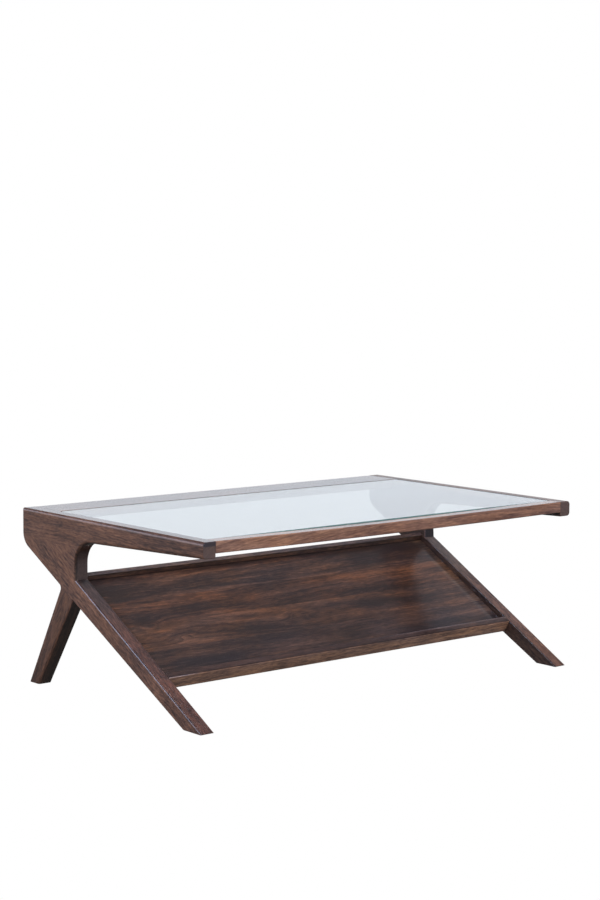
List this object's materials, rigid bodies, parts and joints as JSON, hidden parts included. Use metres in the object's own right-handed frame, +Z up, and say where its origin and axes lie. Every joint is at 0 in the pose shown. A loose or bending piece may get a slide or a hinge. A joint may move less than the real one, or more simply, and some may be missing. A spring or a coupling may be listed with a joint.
{
  "type": "coffee table",
  "caption": "Low wooden table with a drop-in glass top, side frames with an arm, a long diagonal leg and a leaning rear leg, and a sloping magazine shelf with a lip.",
  "frame": {"origin": "centre of the footprint, on the floor", "axes": "+X along the table's length, towards its right end seen from the front; -Y towards the front, where the shelf is reached; +Z up"},
  "size_m": [1.15, 0.7, 0.417],
  "materials": {
    "frame_wood": "dark walnut stain under satin lacquer",
    "shelf_wood": "dark walnut stain under satin lacquer",
    "batten_wood": "stained, unpolished",
    "clear_glass": "clear tempered glass with polished edges",
    "clear_pad": "clear soft plastic",
    "dowel_wood": "raw beech",
    "screw_steel": "yellow zinc plated",
    "glide_plastic": "dark brown nylon"
  },
  "bodies": {
    "frame": {"left_arm": "frame_wood", "left_diagonal_leg": "frame_wood", "left_rear_leg": "frame_wood", "right_arm": "frame_wood", "right_diagonal_leg": "frame_wood", "right_rear_leg": "frame_wood", "front_rail": "frame_wood", "back_rail": "frame_wood", "shelf_board_1": "shelf_wood", "shelf_board_2": "shelf_wood", "shelf_board_3": "shelf_wood", "shelf_board_4": "shelf_wood", "shelf_lip_rail": "shelf_wood", "shelf_top_rail": "shelf_wood", "front_glass_ledge": "batten_wood", "back_glass_ledge": "batten_wood", "left_glass_ledge": "batten_wood", "right_glass_ledge": "batten_wood", "left_shelf_cleat": "batten_wood", "right_shelf_cleat": "batten_wood", "glass_pads": "clear_pad", "rail_dowels": "dowel_wood", "arm_dowels": "dowel_wood", "rear_leg_tenons": "dowel_wood", "shelf_dowels": "dowel_wood", "ledge_screws": "screw_steel", "cleat_screws": "screw_steel", "foot_glides": "glide_plastic"},
    "glass": {"glass_top": "clear_glass"}
  },
  "joints": [
    {"name": "glass_lift", "type": "slide", "parent": "frame", "child": "glass", "axis": [0, 0, 1], "range_m": [0, 0.12]}
  ]
}
